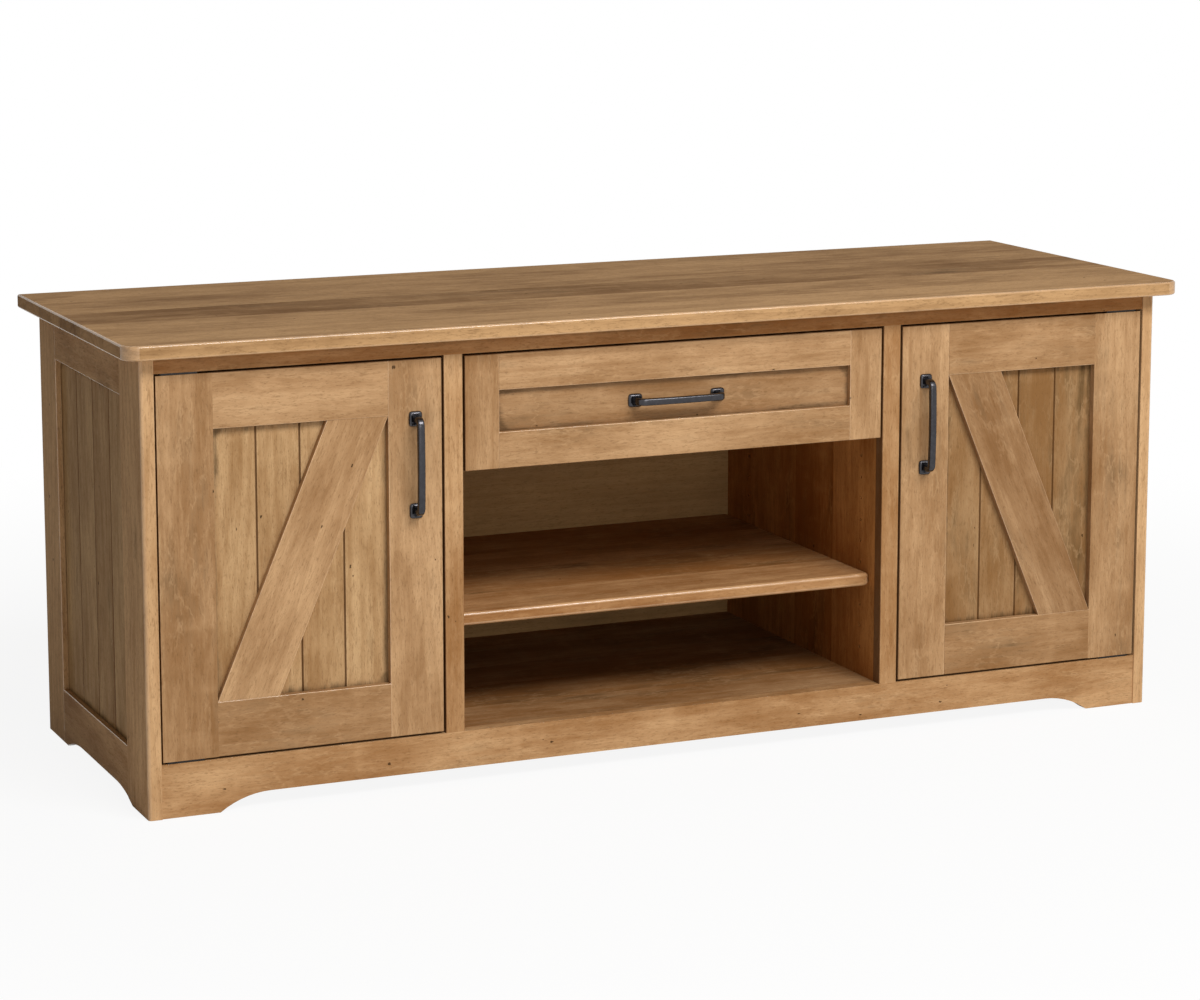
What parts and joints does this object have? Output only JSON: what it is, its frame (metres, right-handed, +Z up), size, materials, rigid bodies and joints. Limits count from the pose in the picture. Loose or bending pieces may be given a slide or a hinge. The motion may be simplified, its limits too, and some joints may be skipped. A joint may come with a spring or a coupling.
{
  "type": "tv stand with doors",
  "caption": "Low solid-wood media stand with two braced inset doors, a drawer over an open shelved bay, frame-and-panel ends and arched base rails.",
  "frame": {"origin": "on the floor, under the middle of the top's footprint", "axes": "+X to the right as seen from the front, the front faces -Y, +Z up"},
  "size_m": [1.624, 0.562, 0.65],
  "materials": {
    "top_wood": "stained maple boards, satin lacquer",
    "case_wood": "stained maple, satin lacquer",
    "door_wood": "stained maple, satin lacquer",
    "panel_wood": "stained maple boards with V grooves, satin lacquer",
    "back_wood": "stained veneered board and maple rails",
    "drawer_box_wood": "clear-lacquered maple",
    "gunmetal": "dark gunmetal, satin",
    "zinc_steel": "zinc-plated steel",
    "hinge_steel": "dark bronzed steel",
    "catch_plastic": "brown moulded plastic"
  },
  "bodies": {
    "cabinet": {"top_panel": "top_wood", "left_end_front_stile": "case_wood", "right_end_front_stile": "case_wood", "left_end_rear_stile": "case_wood", "right_end_rear_stile": "case_wood", "left_end_top_rail": "case_wood", "right_end_top_rail": "case_wood", "left_end_bottom_rail": "case_wood", "right_end_bottom_rail": "case_wood", "left_divider_stile": "case_wood", "right_divider_stile": "case_wood", "left_divider_panel": "case_wood", "right_divider_panel": "case_wood", "face_top_rail": "case_wood", "face_base_rail": "case_wood", "bottom_panel": "case_wood", "center_shelf": "case_wood", "left_end_panel": "panel_wood", "right_end_panel": "panel_wood", "back_panel": "back_wood", "rear_bottom_rail": "back_wood", "rear_top_stretcher": "back_wood", "shelf_pins": "zinc_steel", "slide_cabinet_members": "zinc_steel", "hinge_cabinet_leaves": "hinge_steel", "magnetic_catches": "catch_plastic"},
    "left_door": {"left_door_hinge_stile": "door_wood", "left_door_pull_stile": "door_wood", "left_door_top_rail": "door_wood", "left_door_bottom_rail": "door_wood", "left_door_panel": "panel_wood", "left_door_brace": "door_wood", "left_door_hinge_leaves": "hinge_steel", "left_door_strike_plate": "zinc_steel", "left_door_pull": "gunmetal", "left_door_pull_screws": "zinc_steel"},
    "right_door": {"right_door_hinge_stile": "door_wood", "right_door_pull_stile": "door_wood", "right_door_top_rail": "door_wood", "right_door_bottom_rail": "door_wood", "right_door_panel": "panel_wood", "right_door_brace": "door_wood", "right_door_hinge_leaves": "hinge_steel", "right_door_strike_plate": "zinc_steel", "right_door_pull": "gunmetal", "right_door_pull_screws": "zinc_steel"},
    "drawer": {"drawer_front_left_stile": "door_wood", "drawer_front_right_stile": "door_wood", "drawer_front_top_rail": "door_wood", "drawer_front_bottom_rail": "door_wood", "drawer_front_panel": "door_wood", "drawer_pull_handle": "gunmetal", "drawer_pull_screws": "zinc_steel", "drawer_bottom_panel": "drawer_box_wood", "left_drawer_side": "drawer_box_wood", "right_drawer_side": "drawer_box_wood", "drawer_box_front": "drawer_box_wood", "drawer_box_back": "drawer_box_wood", "slide_drawer_members": "zinc_steel"},
    "slide_middles": {"slide_middle_members": "zinc_steel"}
  },
  "joints": [
    {"name": "left_door_hinge", "type": "hinge", "parent": "cabinet", "child": "left_door", "pos_m": [-0.752, -0.243, 0.341], "axis": [0, 0, -1], "range_deg": [0, 110]},
    {"name": "right_door_hinge", "type": "hinge", "parent": "cabinet", "child": "right_door", "pos_m": [0.752, -0.243, 0.341], "axis": [0, 0, 1], "range_deg": [0, 110]},
    {"name": "drawer_slide", "type": "slide", "parent": "cabinet", "child": "drawer", "axis": [0, -1, 0], "range_m": [0, 0.4]},
    {"name": "slide_middle_travel", "type": "slide", "parent": "cabinet", "child": "slide_middles", "axis": [0, -1, 0], "range_m": [0, 0.2]}
  ],
  "couplings": [
    {"joint": "slide_middle_travel", "follows": "drawer_slide", "ratio": 0.5}
  ]
}
